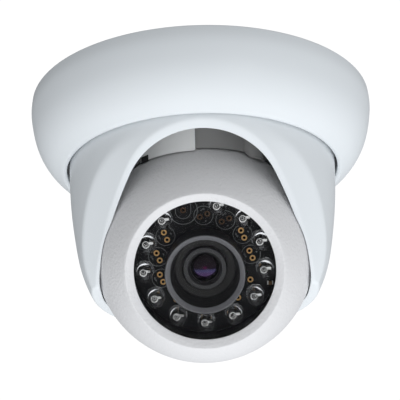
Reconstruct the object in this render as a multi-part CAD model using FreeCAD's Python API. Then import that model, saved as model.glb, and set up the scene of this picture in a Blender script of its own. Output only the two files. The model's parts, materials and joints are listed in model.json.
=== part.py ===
import FreeCAD, Part
import math
import os

V = FreeCAD.Vector
os.makedirs("parts", exist_ok=True)

# Dome camera of the eyeball type, millimetres.
# Origin: centre of the ceiling face. +Z up into the ceiling, lens side towards -Y.

# --- overall ---
BALL_Z = -52.6
BALL_R = 34.75
BALL_WALL = 2.25
AIM_DOWN = 35.9

# --- flange cover, radius at depth below the ceiling ---
FLANGE_PROFILE = [(54.6, 0.0), (54.96, -3.5), (54.54, -8.0), (53.45, -13.0),
                  (51.2, -18.0), (48.04, -22.0), (44.9, -24.6)]
FLANGE_WALL = 2.3
FLANGE_OPENING_R = 43.9
RIB_R = 48.0

# --- turret housing ---
TURRET_PROFILE = [(42.76, -11.3), (42.62, -26.0), (42.2, -36.0), (40.7, -49.0),
                  (38.9, -58.0), (37.3, -62.5), (35.7, -66.0)]
TURRET_WALL = 2.4
TURRET_TOP_Z = -11.3
TURRET_BOTTOM_Z = -66.0
BALL_SOCKET_R = 35.1
YOKE_ROOM_R = 37.2
MOUTH_TILT = 42.0
MOUTH_AXIS_TILT = 49.0
MOUTH_DEPTH = 13.6
MOUTH_DROP = 3.0
CREASE_BACK = 5.0
NOSE_LENGTH = 8.0
# mouth outlines: low radius, high radius, height of the high centre, radius of the flanks
LIP_OUT = (34.0, 25.2, 27.9, 125.0)
LIP_IN = (33.55, 24.5, 25.4, 148.0)
CREASE = (41.0, 33.0, 26.5, 100.0)
NOSE_IN_FRONT = (30.0, 21.2, 27.9, 121.0)
NOSE_IN_REAR = (37.0, 29.0, 26.5, 96.0)

# --- ceiling base and pan bearing ---
BASE_R = 46.0
BASE_PLATE = 3.0
WALL_R = 48.0
WALL_BOTTOM_Z = -12.0
BOLT_CIRCLE_R = 40.0
BOLT_HOLE_R = 2.3
SPINDLE_R = 14.0
SPINDLE_BORE_R = 8.5
SPINDLE_END_Z = -13.6
SHOULDER_R = 19.0
SHOULDER_Z = -10.9
RUN = 0.05

# --- turret top plate ---
PLATE_R = 40.0
PLATE_TOP_Z = -11.3
PLATE_BOTTOM_Z = -13.55
PLATE_SCREW_R = 36.3

# --- inner bracket seen above the ball ---
BRACKET_R = 24.5
BRACKET_WALL = 1.5
BRACKET_HALF_ANGLE = 62.0
BLOCK_R = 25.8
BLOCK_END_ANGLE = 48.0
BLOCK_X = -2.0
BOSS_PLACE = (16.2, -19.3)
BOSS_R = 3.2
BRACKET_CLEAR_R = 35.25
PAD_BLOCK_X = (-19.1, -16.8)

# --- tilt yoke ---
YOKE_IN_R = 35.15
YOKE_OUT_R = 36.85
YOKE_HALF_WIDTH = 6.0
HUB_R = 14.0
HUB_TOP = -31.45
HUB_BACK = -33.3
PIN_R = 3.0
PIN_END_X = 38.4
BUSH_R = 4.2

# --- eyeball shells, axial distances from the ball centre along the lens axis ---
SEAM = -6.0
SHELL_BOSS_CIRCLE_R = 30.2
REAR_FLAT = -31.0
NECK_R = 6.5
NECK_BORE_R = 4.5
NECK_END = -35.6
BEZEL_R = 24.44
BEZEL_FRONT = 24.6
BEZEL_IN_R = 21.85
BEZEL_IN = 23.9
WINDOW_R = 22.4
WINDOW_FRONT = 23.1
WINDOW_BACK = 21.6
SHROUD_R = 23.9
SHROUD_IN_R = 22.9

# --- lamp board ---
BOARD_R = 28.5
BOARD_FRONT = 10.5
BOARD_THICK = 1.6
LED_CIRCLE_R = 18.9
LED_PLACES = 13
LED_R = 2.5
LED_FLANGE_R = 2.9
LED_TIP = 19.1
EMPTY_LED_PLACE = 7
SPARE_CIRCLE_R = 14.6
SENSOR_FOOTPRINT = (-6.3, 16.4)
PAD_R = 0.95
PAD_HOLE_R = 0.45
PAD_PITCH = 2.54
POST_CIRCLE_R = 26.2

# --- lens group, on its own axis a little below the ball axis ---
LENS_Y = -1.75
CUP_BASE_R = 12.3
CUP_RIM_R = 11.95
CUP_MOUTH_R = 10.3
CUP_FRONT = 21.3
CUP_FLOOR = 12.6
BARREL_R = 6.85
THREAD_R = 5.95
LENS_FACE = 13.6
GLASS_R = 4.5
HOLDER_BORE_R = 6.0
HOLDER_R = 8.2

# --- boards behind the lens ---
SENSOR_BOARD_FRONT = -5.0
SENSOR_BOARD_THICK = 1.2
MAIN_BOARD_FRONT = -18.0
MAIN_BOARD_THICK = 1.2
INNER_BOARD_R = 25.0
STANDOFF_CIRCLE_R = 22.0
SHUTTLE_TRAVEL = 6.6

# --- cable ---
CABLE_R = 1.5
CABLE_TOP_Z = -13.0
CABLE_EXIT = 36.0
CABLE_POLES = [(32.2, -29.3), (34.3, -24.9), (28.8, -16.5), (20.0, -17.4), (11.5, -17.35),
               (6.0, -16.2), (0.2, -15.9)]


def cylinder(r, z0, z1, x=0.0, y=0.0):
    """Upright cylinder between two heights."""
    return Part.makeCylinder(r, z1 - z0, V(x, y, z0))


def tube(r_out, r_in, z0, z1, x=0.0, y=0.0):
    """Upright ring between two heights."""
    return cylinder(r_out, z0, z1, x, y).cut(cylinder(r_in, z0 - 1, z1 + 1, x, y))


def box(x0, x1, y0, y1, z0, z1):
    """Axis-aligned block from its limits."""
    return Part.makeBox(x1 - x0, y1 - y0, z1 - z0, V(x0, y0, z0))


def revolve(points):
    """Solid of revolution about Z from straight (r, z) points."""
    wire = Part.makePolygon([V(r, 0, z) for r, z in points + [points[0]]])
    return Part.Face(wire).revolve(V(0, 0, 0), V(0, 0, 1), 360)


def revolve_smooth(curve_points, straight_points):
    """Solid of revolution whose outer side is a smooth curve through the points."""
    curve = Part.BSplineCurve()
    curve.interpolate([V(r, 0, z) for r, z in curve_points])
    chain = [curve_points[-1]] + straight_points + [curve_points[0]]
    edges = [curve.toShape()]
    for a, b in zip(chain[:-1], chain[1:]):
        edges.append(Part.makeLine(V(a[0], 0, a[1]), V(b[0], 0, b[1])))
    return Part.Face(Part.Wire(edges)).revolve(V(0, 0, 0), V(0, 0, 1), 360)


def ring_points(radius, count, start_deg):
    """Evenly spaced points on a circle."""
    points = []
    for i in range(count):
        a = math.radians(start_deg + 360.0 * i / count)
        points.append((radius * math.cos(a), radius * math.sin(a)))
    return points


def aimed(shape, down_deg):
    """Put a shape built along +Z onto an axis through the ball centre, pointing down and forward."""
    out = shape.copy()
    out.rotate(V(0, 0, 0), V(1, 0, 0), 90.0 + down_deg)
    out.translate(V(0, 0, BALL_Z))
    return out


def in_ball(shape):
    """Place a shape of the ball's own frame at rest."""
    return aimed(shape, AIM_DOWN)


def save(name, shape):
    """Write one named piece."""
    solids = shape.Solids
    result = solids[0] if len(solids) == 1 else Part.makeCompound(solids)
    result.exportStep("parts/" + name + ".step")
    print(name, len(solids), round(shape.Volume, 1), shape.isValid())


def group(shapes):
    """Several equal pieces as one node."""
    return Part.makeCompound(shapes)


# ------------------------------------------------------------------ ceiling base

def mounting_base():
    plate = cylinder(BASE_R, -BASE_PLATE, 0.0)
    rim = cylinder(WALL_R, -BASE_PLATE, -1.2)
    wall = tube(WALL_R, WALL_R - 2.2, WALL_BOTTOM_Z, -1.2)
    lip = tube(WALL_R + 0.7, WALL_R - 2.2, -9.6, -8.5)
    shoulder = cylinder(SHOULDER_R, SHOULDER_Z, -BASE_PLATE)
    spindle = cylinder(SPINDLE_R, SPINDLE_END_Z, -BASE_PLATE)
    body = plate.fuse([rim, wall, lip, shoulder, spindle])
    for i in range(6):
        rib = box(SHOULDER_R - 1, WALL_R - 1, -0.9, 0.9, -7.0, -BASE_PLATE)
        rib.rotate(V(0, 0, 0), V(0, 0, 1), 60.0 * i)
        body = body.fuse(rib)
    body = body.cut(cylinder(SPINDLE_BORE_R, -20, 1))
    for x, y in ring_points(BOLT_CIRCLE_R, 3, 90):
        body = body.fuse(cylinder(5.2, -5.0, -BASE_PLATE, x, y))
        body = body.cut(cylinder(BOLT_HOLE_R, -8, 1, x, y))
    for x, y in ring_points(11.3, 3, 30):
        body = body.cut(cylinder(0.95, SPINDLE_END_Z - 1, -8.0, x, y))
    return body.removeSplitter()


def flange_cover():
    outer = revolve_smooth(FLANGE_PROFILE, [(FLANGE_OPENING_R, -24.9), (FLANGE_OPENING_R, 0.0)])
    inner_profile = [(r - FLANGE_WALL, z) for r, z in FLANGE_PROFILE[:-1]]
    inner_profile[0] = (FLANGE_PROFILE[0][0] - FLANGE_WALL, 1.0)
    inner = revolve_smooth(inner_profile, [(30.0, -21.6), (30.0, 1.0)])
    shell = outer.cut(inner).cut(cylinder(FLANGE_OPENING_R + 0.2, -30, 1))
    rib = tube(53.6, RIB_R, -8.4, -5.4)
    return shell.fuse(rib).removeSplitter()


def ceiling_gasket():
    return tube(48.9, BASE_R, -1.2, 0.0)


def cable_grommet():
    collar = tube(SPINDLE_BORE_R, CABLE_R, -7.0, 0.0)
    return collar


def pan_washer():
    return tube(18.6, SPINDLE_R + 0.1, PLATE_TOP_Z + RUN, SHOULDER_Z)


def pan_retainer_ring():
    ring = tube(SHOULDER_R, SPINDLE_BORE_R + 0.8, -15.2, SPINDLE_END_Z)
    for x, y in ring_points(11.3, 3, 30):
        ring = ring.cut(cylinder(1.95, -16, -14.3, x, y))
        ring = ring.cut(cylinder(1.0, -16, -13, x, y))
    return ring


def retainer_screws():
    screws = []
    for x, y in ring_points(11.3, 3, 30):
        head = cylinder(1.9, -15.2, -14.3, x, y).cut(cylinder(0.7, -16, -14.8, x, y))
        screws.append(head.fuse(cylinder(0.95, -14.4, -8.1, x, y)))
    return group(screws)


# ------------------------------------------------------------------ turret

def egg_wire(sizes, depth, back):
    """Closed outline in the mouth's plane: a low arc, two long flank arcs and a high arc, all tangent."""
    r0, r1, up, side = sizes
    to_high = side - r1
    to_low = side - r0
    w = (to_low ** 2 - to_high ** 2 + up ** 2) / (2.0 * up)
    c = math.sqrt(to_low ** 2 - w ** 2)
    shift = math.radians(MOUTH_AXIS_TILT - MOUTH_TILT)
    reach = (depth - back) / math.cos(shift)
    cy = -reach * math.sin(shift) - MOUTH_DROP
    cz = reach * math.cos(shift)
    low_angle = math.atan2(-w, c)
    high_angle = math.atan2(up - w, c)

    def flank(sign, angle):
        return V(sign * (side * math.cos(angle) - c), cy + w + side * math.sin(angle), cz)

    middle = (low_angle + high_angle) / 2.0
    low = Part.Arc(flank(-1, low_angle), V(0, cy - r0, cz), flank(1, low_angle)).toShape()
    right = Part.Arc(flank(1, low_angle), flank(1, middle), flank(1, high_angle)).toShape()
    high = Part.Arc(flank(1, high_angle), V(0, cy + up + r1, cz), flank(-1, high_angle)).toShape()
    left = Part.Arc(flank(-1, high_angle), flank(-1, middle), flank(-1, low_angle)).toShape()
    return Part.Wire([low, right, high, left])


def spread(front, rear, back_front, back_rear, at):
    """Outline sizes at another depth on the same ruled cone."""
    k = (at - back_front) / (back_rear - back_front)
    return tuple(a + (b - a) * k for a, b in zip(front, rear))


def mouth_cone(front, rear, ahead, behind):
    """Ruled nose around the opening, from ahead of the lip to far behind it."""
    first = spread(front, rear, 0.0, CREASE_BACK, ahead)
    last = spread(front, rear, 0.0, CREASE_BACK, behind)
    wires = [egg_wire(first, MOUTH_DEPTH, ahead), egg_wire(last, MOUTH_DEPTH, behind)]
    return aimed(Part.makeLoft(wires, True, True), MOUTH_TILT)


def turret_outer():
    side = revolve_smooth(TURRET_PROFILE, [(0.0, TURRET_BOTTOM_Z), (0.0, TURRET_TOP_Z)])
    return side


def turret_inner():
    profile = [(r - TURRET_WALL, z) for r, z in TURRET_PROFILE[:4]]
    profile.append((TURRET_PROFILE[4][0] - 1.7, TURRET_PROFILE[4][1]))
    return revolve_smooth(profile, [(0.0, profile[-1][1]), (0.0, profile[0][1])])


def turret_housing():
    front = turret_outer().common(mouth_cone(LIP_OUT, CREASE, 0.0, NOSE_LENGTH))
    rear_half = aimed(box(-80, 80, -80, 80, -160, MOUTH_DEPTH - NOSE_LENGTH + 1.0), MOUTH_TILT)
    body = front.fuse(turret_outer().common(rear_half))
    tunnel = mouth_cone(LIP_IN, LIP_IN, -20.0, 30.0)
    front_keep = Part.makeSphere(BALL_SOCKET_R, V(0, 0, BALL_Z))
    inner_nose = mouth_cone(NOSE_IN_FRONT, NOSE_IN_REAR, -4.0, NOSE_LENGTH)
    hollow = turret_inner().common(inner_nose).fuse(turret_inner().common(rear_half))
    upper = hollow.common(box(-60, 60, -60, 60, BALL_Z, 0))
    yoke_room = Part.makeSphere(YOKE_ROOM_R, V(0, 0, BALL_Z))
    yoke_room = yoke_room.common(box(-60, 60, -7.2, 60, BALL_Z - 10.2, 0))
    top_open = cylinder(TURRET_PROFILE[0][0] - TURRET_WALL, -14.0, 0.0)
    body = body.cut(front_keep).cut(upper).cut(yoke_room).cut(top_open)
    front_only = box(-60, 60, -80, 0, -120, 0)
    body = body.cut(tunnel.common(front_only))
    body = max(body.Solids, key=lambda s: s.Volume)
    for x, y in ring_points(PLATE_SCREW_R, 3, 90):
        web = box(-2.6, 2.6, 0.0, 4.6, -21.0, PLATE_BOTTOM_Z)
        angle = math.degrees(math.atan2(y, x)) - 90
        web.rotate(V(0, 0, 0), V(0, 0, 1), angle)
        web.translate(V(x, y, 0))
        boss = cylinder(2.6, -21.0, PLATE_BOTTOM_Z, x, y).fuse(web).common(turret_outer())
        body = body.fuse(boss).cut(cylinder(1.2, -20.0, -10.0, x, y))
    for side in (-1, 1):
        bore = Part.makeCylinder(BUSH_R, 38.5, V(0, 0, BALL_Z), V(side, 0, 0))
        body = body.cut(bore)
    return body.removeSplitter()


def turret_top_plate():
    plate = tube(PLATE_R, SPINDLE_R + RUN, PLATE_BOTTOM_Z, PLATE_TOP_Z)
    for x, y in ring_points(PLATE_SCREW_R, 3, 90):
        plate = plate.cut(cylinder(1.4, -20, 0, x, y))
    return plate


def turret_screws():
    screws = []
    for x, y in ring_points(PLATE_SCREW_R, 3, 90):
        head = cylinder(2.4, PLATE_TOP_Z, PLATE_TOP_Z + 1.5, x, y)
        head = head.cut(cylinder(0.9, PLATE_TOP_Z + 0.6, 0, x, y))
        screws.append(head.fuse(cylinder(1.2, -19.9, PLATE_TOP_Z, x, y)))
    return group(screws)


def front_sector(half_angle_deg, reach):
    """Upright wedge of space in front of the pan axis, to keep part of a ring."""
    a = math.radians(half_angle_deg)
    x = reach * math.sin(a)
    y = -reach * math.cos(a)
    corners = [V(0, 0, -40), V(-x, y, -40), V(0, -2.0 * reach, -40), V(x, y, -40), V(0, 0, -40)]
    return Part.Face(Part.makePolygon(corners)).extrude(V(0, 0, 40))


def inner_bracket():
    """Curved front wall above the ball with a screw boss."""
    wall = tube(BRACKET_R, BRACKET_R - BRACKET_WALL, -30.0, PLATE_BOTTOM_Z)
    wall = wall.common(front_sector(BRACKET_HALF_ANGLE, 40.0))
    x, y = BOSS_PLACE
    boss = cylinder(BOSS_R, -30.0, PLATE_BOTTOM_Z, x, y)
    body = wall.fuse(boss).cut(cylinder(1.1, -30.0, -20.0, x, y))
    return body.cut(Part.makeSphere(BRACKET_CLEAR_R, V(0, 0, BALL_Z))).removeSplitter()


def stop_pad_space(shrink):
    """Pocket at the lower end of the stop block, where the rubber pad sits."""
    x0, x1 = PAD_BLOCK_X
    pocket = tube(BLOCK_R + 0.4 - shrink, BRACKET_R + shrink, -31.0, -26.7 - shrink)
    return pocket.common(box(x0 + shrink, x1 - shrink, -40, 0, -40, 0))


def stop_block():
    """Thick curved block on the front wall, ending at a clean upright edge."""
    block = tube(BLOCK_R, BRACKET_R, -31.0, PLATE_BOTTOM_Z)
    block = block.common(front_sector(BLOCK_END_ANGLE, 40.0)).common(box(-40, BLOCK_X, -40, 0, -40, 0))
    block = block.cut(Part.makeSphere(BRACKET_CLEAR_R, V(0, 0, BALL_Z)))
    return block.cut(stop_pad_space(0.0))


def tilt_stop_pad():
    """Rubber pad that the ball's bezel meets when it tilts fully up."""
    clear = Part.makeSphere(BRACKET_CLEAR_R - 0.2, V(0, 0, BALL_Z))
    return stop_pad_space(0.02).common(cylinder(BLOCK_R, -40, 0)).cut(clear)


def trunnion_bushes():
    rings = []
    for side in (-1, 1):
        ring = Part.makeCylinder(BUSH_R, 1.4, V(side * 37.0, 0, BALL_Z), V(side, 0, 0))
        hole = Part.makeCylinder(PIN_R + RUN, 3.0, V(side * 36.5, 0, BALL_Z), V(side, 0, 0))
        rings.append(ring.cut(hole))
    return group(rings)


# ------------------------------------------------------------------ tilt yoke

def tilt_yoke():
    skin = Part.makeSphere(YOKE_OUT_R).cut(Part.makeSphere(YOKE_IN_R))
    strip = box(-40, 40, -YOKE_HALF_WIDTH, YOKE_HALF_WIDTH, HUB_BACK, 0.0)
    ends = Part.makeCylinder(YOKE_HALF_WIDTH, 80, V(-40, 0, 0), V(1, 0, 0))
    band = skin.common(strip.fuse(ends))
    hub = cylinder(HUB_R, HUB_BACK, HUB_TOP).common(Part.makeSphere(YOKE_OUT_R))
    yoke = band.fuse(hub).cut(cylinder(NECK_R + RUN, -40, -20))
    yoke = yoke.cut(Part.makeCylinder(PIN_R, 80, V(-40, 0, 0), V(1, 0, 0)))
    return in_ball(yoke.removeSplitter())


def trunnion_pins():
    pins = []
    for side in (-1, 1):
        pin = Part.makeCylinder(PIN_R, PIN_END_X - 35.3, V(side * 35.3, 0, 0), V(side, 0, 0))
        pins.append(pin)
    return in_ball(group(pins))


# ------------------------------------------------------------------ eyeball

def shell_bosses(z0, z1, r):
    return [cylinder(r, z0, z1, x, y) for x, y in ring_points(SHELL_BOSS_CIRCLE_R, 3, 60)]


def eyeball_front_shell():
    body = Part.makeSphere(BALL_R).common(cylinder(40, SEAM, BEZEL_FRONT))
    face = revolve([(0, BEZEL_IN), (BEZEL_IN_R, BEZEL_IN), (BEZEL_R, BEZEL_FRONT),
                    (BEZEL_R, 40), (0, 40)])
    hollow = Part.makeSphere(BALL_R - BALL_WALL).common(cylinder(40, -40, 20.0))
    body = body.cut(face).cut(hollow)
    body = body.cut(cylinder(SHROUD_R + 0.1, 15, WINDOW_BACK))
    body = body.cut(cylinder(WINDOW_R + 0.5, 15, WINDOW_FRONT + 0.05))
    body = body.cut(cylinder(BEZEL_IN_R, 15, 40))
    inside = Part.makeSphere(BALL_R - 1.0)
    for x, y in ring_points(POST_CIRCLE_R, 3, 30):
        post = cylinder(2.0, BOARD_FRONT, 21.0, x, y).common(inside)
        post = post.cut(cylinder(SHROUD_R + 0.1, 0, 30))
        body = body.fuse(post).cut(cylinder(0.95, BOARD_FRONT - 1, 15.0, x, y))
    for boss in shell_bosses(SEAM, 6.0, 2.7):
        body = body.fuse(boss.common(inside))
    for hole in shell_bosses(SEAM - 1, 4.5, 1.27):
        body = body.cut(hole)
    return in_ball(body.removeSplitter())


def eyeball_rear_shell():
    body = Part.makeSphere(BALL_R).common(cylinder(40, REAR_FLAT, SEAM))
    hollow = Part.makeSphere(BALL_R - BALL_WALL).common(cylinder(40, REAR_FLAT + 2.2, 0))
    body = body.cut(hollow)
    inside = Part.makeSphere(BALL_R).common(cylinder(40, REAR_FLAT, SEAM))
    for boss in shell_bosses(-24, SEAM, 2.9):
        body = body.fuse(boss.common(inside))
    for hole in shell_bosses(-30, 0, 1.35):
        body = body.cut(hole)
    for sink in shell_bosses(-30, -12.0, 2.35):
        body = body.cut(sink)
    body = body.cut(tube(33.6, 32.6, SEAM - 0.9, SEAM))
    neck = cylinder(NECK_R, NECK_END, REAR_FLAT + 0.5)
    body = body.fuse(neck).cut(cylinder(NECK_BORE_R, -40, -20))
    return in_ball(body.removeSplitter())


def shell_seal():
    return in_ball(tube(33.57, 32.63, SEAM - 0.87, SEAM))


def shell_screws():
    screws = []
    heads = shell_bosses(-13.6, -12.0, 2.25)
    sockets = shell_bosses(-14, -13.0, 1.0)
    shafts = shell_bosses(-12.1, 4.0, 1.25)
    for head, socket, shaft in zip(heads, sockets, shafts):
        screws.append(head.cut(socket).fuse(shaft))
    return in_ball(group(screws))


def front_window():
    return in_ball(cylinder(WINDOW_R, WINDOW_BACK + 0.02, WINDOW_FRONT))


def window_gasket():
    return in_ball(tube(WINDOW_R + 0.48, WINDOW_R, WINDOW_BACK + 0.02, WINDOW_FRONT))


def light_shroud():
    return in_ball(tube(SHROUD_R, SHROUD_IN_R, BOARD_FRONT, WINDOW_BACK))


def led_angles():
    """Angles of the fitted lamps; one place of the ring stays empty."""
    step = 360.0 / LED_PLACES
    return [270.0 + step * i for i in range(LED_PLACES) if i != EMPTY_LED_PLACE]


def led_board():
    board = cylinder(BOARD_R, BOARD_FRONT - BOARD_THICK, BOARD_FRONT)
    board = board.cut(cylinder(9.0, 0, 20, 0, LENS_Y))
    for x, y in ring_points(POST_CIRCLE_R, 3, 30):
        board = board.cut(cylinder(1.2, 0, 20, x, y))
    for x, y in ring_points(STANDOFF_CIRCLE_R, 3, 90):
        board = board.cut(cylinder(1.0, 0, 9.9, x, y))
    for pad_x, pad_y in pad_places():
        board = board.cut(cylinder(PAD_HOLE_R, 0, 20, pad_x, pad_y))
    return in_ball(board)


def pad_places():
    """Plated holes for a second ring of lamps that this model leaves unfitted."""
    places = []
    lean = math.radians(22.0)
    for i in range(LED_PLACES):
        if i == 1:
            continue
        a = math.radians(90.0 + 360.0 * i / LED_PLACES)
        cx = SPARE_CIRCLE_R * math.cos(a)
        cy = SPARE_CIRCLE_R * math.sin(a)
        ux = -math.sin(lean) * PAD_PITCH / 2
        uy = math.cos(lean) * PAD_PITCH / 2
        if cy > 10.0:
            ux = math.cos(lean) * PAD_PITCH / 2
            uy = math.sin(lean) * PAD_PITCH / 2
        for sign in (-1, 1):
            places.append((cx + sign * ux, cy + sign * uy))
    places.append(SENSOR_FOOTPRINT)
    clear = CUP_BASE_R + PAD_R + 0.1
    return [(x, y) for x, y in places if math.hypot(x, y - LENS_Y) > clear]


def led_lead_pads():
    rings = []
    for x, y in pad_places():
        ring = tube(PAD_R, PAD_HOLE_R, BOARD_FRONT, BOARD_FRONT + 0.08, x, y)
        rings.append(ring)
    return in_ball(group(rings))


def ir_leds():
    lamps = []
    for angle in led_angles():
        x = LED_CIRCLE_R * math.cos(math.radians(angle))
        y = LED_CIRCLE_R * math.sin(math.radians(angle))
        top = LED_TIP - LED_R
        body = cylinder(LED_R, BOARD_FRONT + 0.9, top, x, y)
        cap = Part.makeSphere(LED_R, V(x, y, top))
        foot = cylinder(LED_FLANGE_R, BOARD_FRONT, BOARD_FRONT + 1.0, x, y)
        lamps.append(body.fuse([cap, foot]).removeSplitter())
    return in_ball(group(lamps))


def light_sensor():
    return in_ball(box(19.4, 21.2, -8.2, -6.7, BOARD_FRONT, BOARD_FRONT + 0.9))


def led_board_screws():
    screws = []
    back = BOARD_FRONT - BOARD_THICK
    for x, y in ring_points(POST_CIRCLE_R, 3, 30):
        head = cylinder(1.9, back - 1.3, back, x, y).cut(cylinder(0.8, 0, back - 0.7, x, y))
        screws.append(head.fuse(cylinder(0.95, back, 14.8, x, y)))
    return in_ball(group(screws))


def lens_cup():
    body = revolve([(7.1, BOARD_FRONT), (CUP_BASE_R, BOARD_FRONT), (12.1, CUP_FRONT - 4.0),
                    (CUP_RIM_R, CUP_FRONT - 0.25), (CUP_RIM_R - 0.25, CUP_FRONT),
                    (CUP_RIM_R - 0.45, CUP_FRONT), (CUP_MOUTH_R, CUP_FRONT - 0.9),
                    (9.3, CUP_FLOOR), (7.1, CUP_FLOOR - 0.5)])
    under = cylinder(9.3, BOARD_FRONT - 1, BOARD_FRONT + 0.9)
    body = body.cut(under)
    body.translate(V(0, LENS_Y, 0))
    return in_ball(body)


def on_lens_axis(shape):
    """Move a shape from the ball axis to the lens axis, then to rest."""
    out = shape.copy()
    out.translate(V(0, LENS_Y, 0))
    return in_ball(out)


def lens_holder():
    block = box(-13, 13, -9, 9, SENSOR_BOARD_FRONT, 1.0)
    stem = cylinder(HOLDER_R, 0.5, 7.6)
    body = block.fuse(stem)
    body = body.cut(cylinder(HOLDER_BORE_R, -1.5, 20))
    body = body.cut(box(-11.5, 20, -5.05, 5.05, -3.1, -1.5))
    body = body.cut(box(-6.2, 6.2, -6.2, 6.2, -10, -3.1))
    return on_lens_axis(body.removeSplitter())


def lens_barrel():
    head = cylinder(BARREL_R, 8.2, LENS_FACE)
    neck = cylinder(THREAD_R, -1.0, 8.4)
    body = head.fuse(neck)
    cone = revolve([(0, LENS_FACE - 1.3), (GLASS_R, LENS_FACE - 1.3), (5.3, LENS_FACE + 0.1), (0, LENS_FACE + 0.1)])
    body = body.cut(cone)
    body = body.cut(cylinder(GLASS_R, LENS_FACE - 4.5, LENS_FACE))
    body = body.cut(cylinder(3.6, -2.0, LENS_FACE - 3.0))
    body = body.cut(cylinder(4.4, -2.0, 1.2))
    return on_lens_axis(body.removeSplitter())


def lens_front_element():
    disc = cylinder(GLASS_R - 0.02, LENS_FACE - 4.4, LENS_FACE - 0.7)
    dome = Part.makeSphere(6.2, V(0, 0, LENS_FACE - 0.75 - 6.2))
    return on_lens_axis(disc.common(dome))


def lens_rear_element():
    disc = cylinder(4.35, -0.9, 1.15)
    bulge = Part.makeSphere(9.0, V(0, 0, 8.1))
    return on_lens_axis(disc.common(bulge))


def lens_lock_ring():
    return on_lens_axis(tube(8.2, THREAD_R, 7.66, 8.14))


def filter_shuttle():
    plate = box(-4.2, 10.8, -5.0, 5.0, -3.05, -1.55)
    arm = box(10.5, 17.0, -1.5, 1.5, -3.05, -1.55)
    body = plate.fuse(arm)
    for x in (0.0, SHUTTLE_TRAVEL):
        body = body.cut(box(x - 3.1, x + 3.1, -3.1, 3.1, -4, 0))
    return on_lens_axis(body.removeSplitter())


def filter_pane(x):
    return on_lens_axis(box(x - 3.08, x + 3.08, -3.08, 3.08, -2.6, -2.0))


def filter_solenoid():
    coil = Part.makeCylinder(2.2, 7.0, V(14.3, 0, 1.6), V(1, 0, 0))
    frame = box(13.1, 14.6, -3.2, 3.2, -1.3, 4.0).fuse(box(21.0, 22.2, -3.2, 3.2, -1.3, 4.0))
    foot = box(13.1, 22.2, -3.2, 3.2, -1.4, -1.2)
    return on_lens_axis(coil.fuse([frame, foot]).removeSplitter())


def sensor_board():
    z1 = SENSOR_BOARD_FRONT
    board = cylinder(INNER_BOARD_R, z1 - SENSOR_BOARD_THICK, z1)
    for x, y in ring_points(STANDOFF_CIRCLE_R, 3, 90):
        board = board.cut(cylinder(1.0, -10, 0, x, y))
    return in_ball(board)


def image_sensor():
    return on_lens_axis(box(-5.5, 5.5, -5.0, 5.0, SENSOR_BOARD_FRONT, -3.4))


def front_standoffs():
    posts = []
    for x, y in ring_points(STANDOFF_CIRCLE_R, 3, 90):
        posts.append(tube(2.2, 1.0, SENSOR_BOARD_FRONT, BOARD_FRONT - BOARD_THICK, x, y))
    return in_ball(group(posts))


def rear_standoffs():
    posts = []
    top = SENSOR_BOARD_FRONT - SENSOR_BOARD_THICK
    for x, y in ring_points(STANDOFF_CIRCLE_R, 3, 90):
        posts.append(tube(2.2, 1.0, MAIN_BOARD_FRONT, top, x, y))
    return in_ball(group(posts))


def main_board():
    z1 = MAIN_BOARD_FRONT
    board = cylinder(INNER_BOARD_R, z1 - MAIN_BOARD_THICK, z1)
    for x, y in ring_points(STANDOFF_CIRCLE_R, 3, 90):
        board = board.cut(cylinder(1.0, -30, 0, x, y))
    return in_ball(board)


def board_screws():
    screws = []
    back = MAIN_BOARD_FRONT - MAIN_BOARD_THICK
    for x, y in ring_points(STANDOFF_CIRCLE_R, 3, 90):
        head = cylinder(1.9, back - 1.3, back, x, y)
        head = head.cut(cylinder(0.8, back - 2, back - 0.7, x, y))
        screws.append(head.fuse(cylinder(0.98, back, 9.8, x, y)))
    return in_ball(group(screws))


def processor_chip():
    return in_ball(box(-7, 7, -7, 7, MAIN_BOARD_FRONT, MAIN_BOARD_FRONT + 1.4))


def memory_chips():
    z0 = MAIN_BOARD_FRONT
    left = box(-16, -9, -5, 5, z0, z0 + 1.1)
    right = box(9, 16, -5, 5, z0, z0 + 1.1)
    return in_ball(group([left, right]))


def cable_header():
    back = MAIN_BOARD_FRONT - MAIN_BOARD_THICK
    return in_ball(box(-5.5, 5.5, -4.0, 4.0, back - 4.5, back))


def board_link():
    """Board-to-board connector between the sensor board and the main board."""
    return in_ball(box(-9, 9, 11.0, 15.0, MAIN_BOARD_FRONT, SENSOR_BOARD_FRONT - SENSOR_BOARD_THICK))


def level_washer():
    return in_ball(tube(14.0, NECK_R + 0.1, HUB_TOP + RUN, REAR_FLAT))


def wave_washer():
    return in_ball(tube(9.3, NECK_R + 0.1, -33.8, HUB_BACK - RUN))


def neck_nut():
    nut = tube(9.6, NECK_R, -35.3, -33.8)
    for i in range(6):
        slot = box(8.4, 11, -0.9, 0.9, -36, -33)
        slot.rotate(V(0, 0, 0), V(0, 0, 1), 60.0 * i)
        nut = nut.cut(slot)
    return in_ball(nut)


def cable_riser():
    """Straight run of the cable on the pan axis, cut off at the ceiling face."""
    return cylinder(CABLE_R, CABLE_TOP_Z, 0.0)


def neck_end_point():
    """Where the cable leaves the neck, and the direction it leaves in."""
    a = math.radians(AIM_DOWN)
    back = V(0, math.cos(a), math.sin(a))
    return V(0, 0, BALL_Z) + back * CABLE_EXIT, back


def cable_loop():
    """Slack between the pan axis and the neck, bending as the ball tilts."""
    start, back = neck_end_point()
    poles = [start] + [V(0, y, z) for y, z in CABLE_POLES] + [V(0, 0, CABLE_TOP_Z)]
    curve = Part.BSplineCurve()
    curve.buildFromPoles(poles, False, 3)
    path = Part.Wire([curve.toShape()])
    section = Part.Wire([Part.makeCircle(CABLE_R, start, back)])
    return path.makePipeShell([section], True, False)


def cable_neck_lead():
    """Straight run of the cable through the neck to its plug."""
    header_end = MAIN_BOARD_FRONT - MAIN_BOARD_THICK - 4.5
    return in_ball(cylinder(CABLE_R, -CABLE_EXIT, header_end))


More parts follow.
